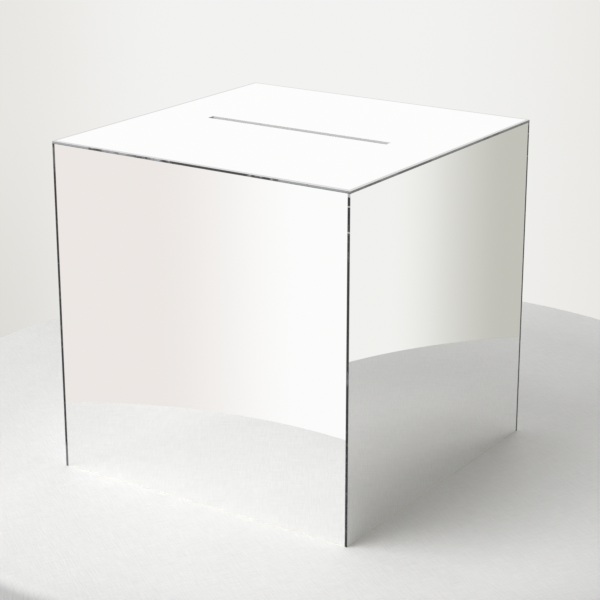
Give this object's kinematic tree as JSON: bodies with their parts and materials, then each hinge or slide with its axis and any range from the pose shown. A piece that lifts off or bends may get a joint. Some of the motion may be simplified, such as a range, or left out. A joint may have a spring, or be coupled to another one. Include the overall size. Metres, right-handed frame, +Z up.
{
  "type": "ballot box",
  "caption": "Mirrored acrylic cube box with a long card slot in its lift-off lid, for collecting cards, ballots or envelopes.",
  "frame": {"origin": "middle of the footprint, level with the lower edges of the walls that the box stands on", "axes": "+Z up through the lid, -Y out of the front wall, +X out of the right wall; the slot runs along X"},
  "size_m": [0.305, 0.305, 0.305],
  "materials": {
    "mirror_sheet": "silver mirrored acrylic, polished outside, grey paint backing inside, dark cut edges",
    "clear_bar": "clear acrylic bar, saw-cut ends"
  },
  "bodies": {
    "box": {"front_panel": "mirror_sheet", "back_panel": "mirror_sheet", "left_panel": "mirror_sheet", "right_panel": "mirror_sheet", "base_panel": "mirror_sheet", "corner_post_front_left": "clear_bar", "corner_post_front_right": "clear_bar", "corner_post_back_left": "clear_bar", "corner_post_back_right": "clear_bar", "base_cleat_front": "clear_bar", "base_cleat_back": "clear_bar", "base_cleat_left": "clear_bar", "base_cleat_right": "clear_bar"},
    "lid": {"lid_panel": "mirror_sheet", "lid_strip_front": "clear_bar", "lid_strip_back": "clear_bar", "lid_strip_left": "clear_bar", "lid_strip_right": "clear_bar"}
  },
  "joints": [
    {"name": "lid_lift", "type": "slide", "parent": "box", "child": "lid", "axis": [0, 0, 1], "range_m": [0, 0.07]}
  ]
}
